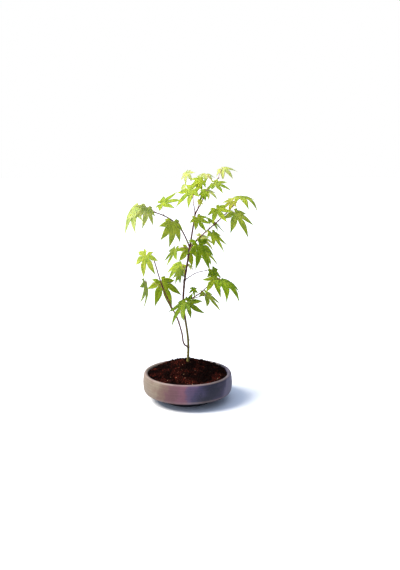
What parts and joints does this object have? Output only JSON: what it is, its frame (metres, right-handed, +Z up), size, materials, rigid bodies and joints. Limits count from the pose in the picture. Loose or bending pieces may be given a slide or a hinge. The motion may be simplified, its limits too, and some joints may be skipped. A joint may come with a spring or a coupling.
{
  "type": "potted japanese maple",
  "caption": "Young Japanese maple with drooping, deeply lobed green leaves on a thin forked stem, in a shallow round unglazed stoneware pot filled with dark soil.",
  "frame": {"origin": "centre of the flat underside of the pot, on the surface that the pot stands on", "axes": "+Z up along the stem, -Y towards the front that the plant is mainly seen from, +X to the right as seen from the front"},
  "size_m": [0.2251, 0.1575, 0.385],
  "materials": {
    "stoneware": "matte",
    "potting_soil": "matte",
    "old_bark": "matte",
    "young_bark": "satin",
    "leaf_pale": "satin",
    "leaf_green": "satin",
    "leaf_deep": "satin"
  },
  "bodies": {
    "root": {"pot": "stoneware", "soil": "potting_soil", "trunk": "old_bark", "leader": "young_bark", "left_bough": "young_bark", "right_bough": "young_bark", "top_twig": "young_bark", "top_left_twig": "young_bark", "low_left_stem": "young_bark", "low_right_bough": "young_bark", "low_right_twig": "young_bark", "mid_right_twig": "young_bark", "foliage_left_tip_outer": "leaf_green", "foliage_left_tip_inner": "leaf_pale", "foliage_left_upright": "leaf_green", "foliage_left_hanging": "leaf_pale", "foliage_top_far_left": "leaf_pale", "foliage_top_left_small": "leaf_pale", "foliage_top_left": "leaf_green", "foliage_top_middle": "leaf_green", "foliage_top_rear": "leaf_pale", "foliage_top_tip": "leaf_pale", "foliage_top_right": "leaf_pale", "foliage_top_inner": "leaf_pale", "foliage_top_bud": "leaf_pale", "foliage_right_tip": "leaf_pale", "foliage_right_tip_inner": "leaf_pale", "foliage_right_upper": "leaf_green", "foliage_right_outer": "leaf_pale", "foliage_leader_front": "leaf_green", "foliage_right_edge": "leaf_deep", "foliage_right_lower": "leaf_green", "foliage_right_rear": "leaf_pale", "foliage_fork_front": "leaf_deep", "foliage_fork_rear_right": "leaf_green", "foliage_fork_rear": "leaf_green", "foliage_fork_left": "leaf_green", "foliage_low_left_tip": "leaf_pale", "foliage_low_left_hanging": "leaf_green", "foliage_low_left_large": "leaf_green", "foliage_stem_rear": "leaf_green", "foliage_stem_rear_low": "leaf_deep", "foliage_low_front": "leaf_deep", "foliage_low_right_small": "leaf_deep", "foliage_mid_right_upper": "leaf_deep", "foliage_mid_right_lower": "leaf_green", "foliage_low_right_tip": "leaf_deep", "foliage_low_right_under": "leaf_pale", "foliage_top_core": "leaf_green", "foliage_top_dark": "leaf_deep", "foliage_top_along": "leaf_deep", "foliage_fork_pale": "leaf_pale", "foliage_fork_curl": "leaf_deep", "foliage_low_right_front": "leaf_deep"}
  },
  "joints": []
}
